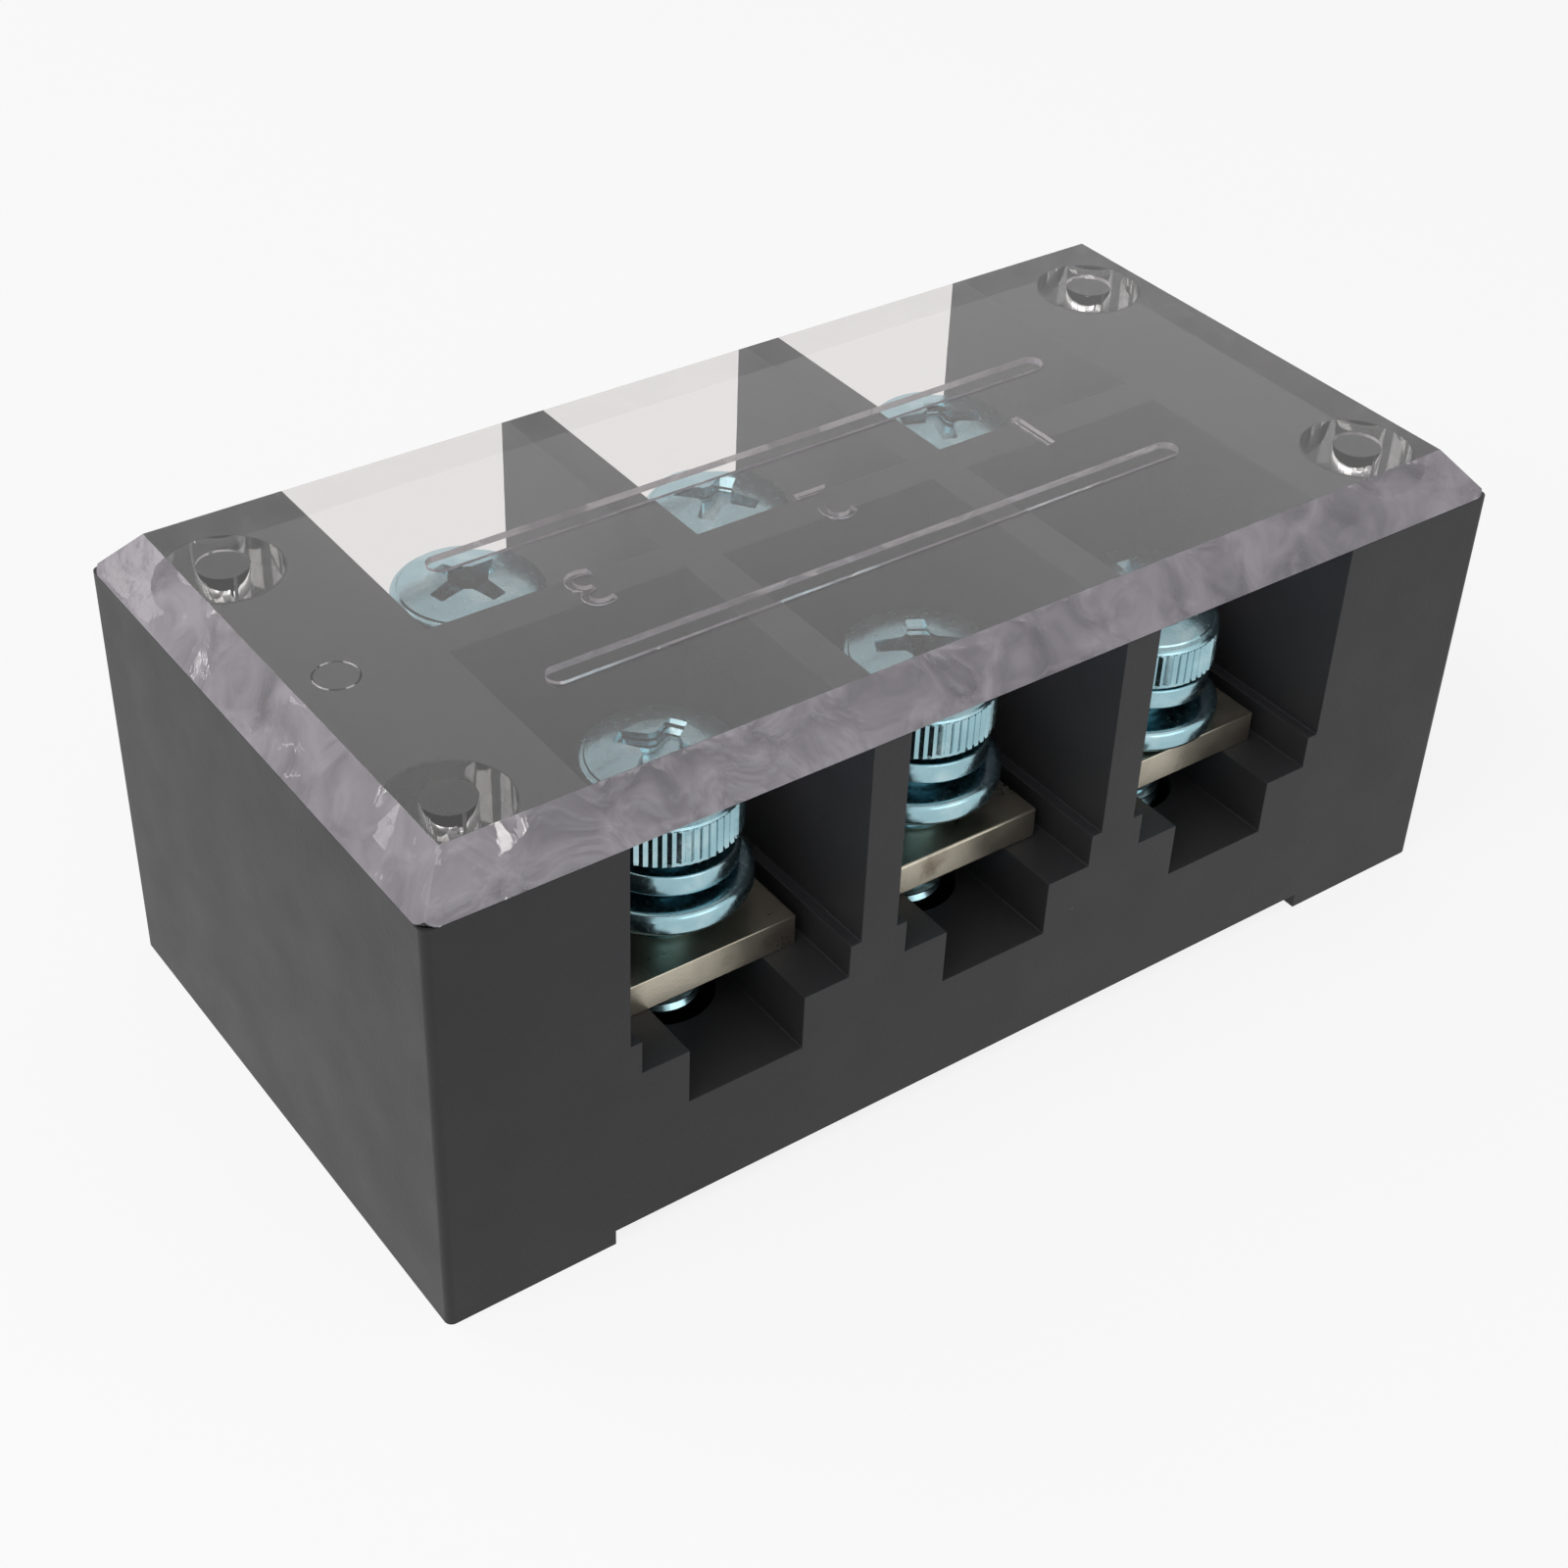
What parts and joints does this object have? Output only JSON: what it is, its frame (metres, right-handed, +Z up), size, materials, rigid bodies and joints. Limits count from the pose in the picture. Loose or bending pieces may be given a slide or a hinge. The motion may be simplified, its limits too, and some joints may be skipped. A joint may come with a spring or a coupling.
{
  "type": "barrier terminal block",
  "caption": "Barrier terminal strip: black moulded block with stepped pockets, plated bars, screws with spring and flat washers, and a clear lift-off cover.",
  "frame": {"origin": "centre of the footprint on the surface the block stands on", "axes": "+X along the row of poles, -Y to the front row, +Y to the rear row, +Z up"},
  "size_m": [0.092, 0.047, 0.0381],
  "materials": {
    "base": "satin moulded thermoset, dark grey to black",
    "cover": "clear moulded polycarbonate",
    "busbar": "plated dull silver",
    "washer": "blue-white zinc plate",
    "screw": "blue-white zinc plate"
  },
  "bodies": {
    "block": {"base": "base", "busbar_1": "busbar", "busbar_2": "busbar", "busbar_3": "busbar"},
    "cover": {"cover": "cover"},
    "washers_f1": {"flat_washer_f1": "washer", "spring_washer_f1": "washer"},
    "screw_f1": {"screw_f1": "screw"},
    "washers_f2": {"flat_washer_f2": "washer", "spring_washer_f2": "washer"},
    "screw_f2": {"screw_f2": "screw"},
    "washers_f3": {"flat_washer_f3": "washer", "spring_washer_f3": "washer"},
    "screw_f3": {"screw_f3": "screw"},
    "washers_r1": {"flat_washer_r1": "washer", "spring_washer_r1": "washer"},
    "screw_r1": {"screw_r1": "screw"},
    "washers_r2": {"flat_washer_r2": "washer", "spring_washer_r2": "washer"},
    "screw_r2": {"screw_r2": "screw"},
    "washers_r3": {"flat_washer_r3": "washer", "spring_washer_r3": "washer"},
    "screw_r3": {"screw_r3": "screw"}
  },
  "joints": [
    {"name": "cover_lift", "type": "slide", "parent": "block", "child": "cover", "axis": [0, 0, 1], "range_m": [0, 0.03]},
    {"name": "lift_f1", "type": "slide", "parent": "block", "child": "washers_f1", "axis": [0, 0, 1], "range_m": [-0.0028, 0.0037]},
    {"name": "turn_f1", "type": "hinge", "parent": "washers_f1", "child": "screw_f1", "pos_m": [-0.022, -0.0127, 0.0178], "axis": [0, 0, 1], "range_deg": [-1011.6, 1335.6]},
    {"name": "lift_f2", "type": "slide", "parent": "block", "child": "washers_f2", "axis": [0, 0, 1], "range_m": [-0.0027, 0.0038]},
    {"name": "turn_f2", "type": "hinge", "parent": "washers_f2", "child": "screw_f2", "pos_m": [0, -0.0127, 0.0178], "axis": [0, 0, 1], "range_deg": [-975.6, 1371.6]},
    {"name": "lift_f3", "type": "slide", "parent": "block", "child": "washers_f3", "axis": [0, 0, 1], "range_m": [-0.0002, 0.0063]},
    {"name": "turn_f3", "type": "hinge", "parent": "washers_f3", "child": "screw_f3", "pos_m": [0.022, -0.0127, 0.0178], "axis": [0, 0, 1], "range_deg": [-75.6, 2271.6]},
    {"name": "lift_r1", "type": "slide", "parent": "block", "child": "washers_r1", "axis": [0, 0, 1], "range_m": [-0.002, 0.0045]},
    {"name": "turn_r1", "type": "hinge", "parent": "washers_r1", "child": "screw_r1", "pos_m": [-0.022, 0.0127, 0.0178], "axis": [0, 0, 1], "range_deg": [-723.6, 1623.6]},
    {"name": "lift_r2", "type": "slide", "parent": "block", "child": "washers_r2", "axis": [0, 0, 1], "range_m": [-0.0017, 0.0048]},
    {"name": "turn_r2", "type": "hinge", "parent": "washers_r2", "child": "screw_r2", "pos_m": [0, 0.0127, 0.0178], "axis": [0, 0, 1], "range_deg": [-615.6, 1731.6]},
    {"name": "lift_r3", "type": "slide", "parent": "block", "child": "washers_r3", "axis": [0, 0, 1], "range_m": [-0.0019, 0.0046]},
    {"name": "turn_r3", "type": "hinge", "parent": "washers_r3", "child": "screw_r3", "pos_m": [0.022, 0.0127, 0.0178], "axis": [0, 0, 1], "range_deg": [-687.6, 1659.6]}
  ],
  "couplings": [
    {"joint": "turn_f1", "follows": "lift_f1", "rad_per_m": 6283.2},
    {"joint": "turn_f2", "follows": "lift_f2", "rad_per_m": 6283.2},
    {"joint": "turn_f3", "follows": "lift_f3", "rad_per_m": 6283.2},
    {"joint": "turn_r1", "follows": "lift_r1", "rad_per_m": 6283.2},
    {"joint": "turn_r2", "follows": "lift_r2", "rad_per_m": 6283.2},
    {"joint": "turn_r3", "follows": "lift_r3", "rad_per_m": 6283.2}
  ]
}
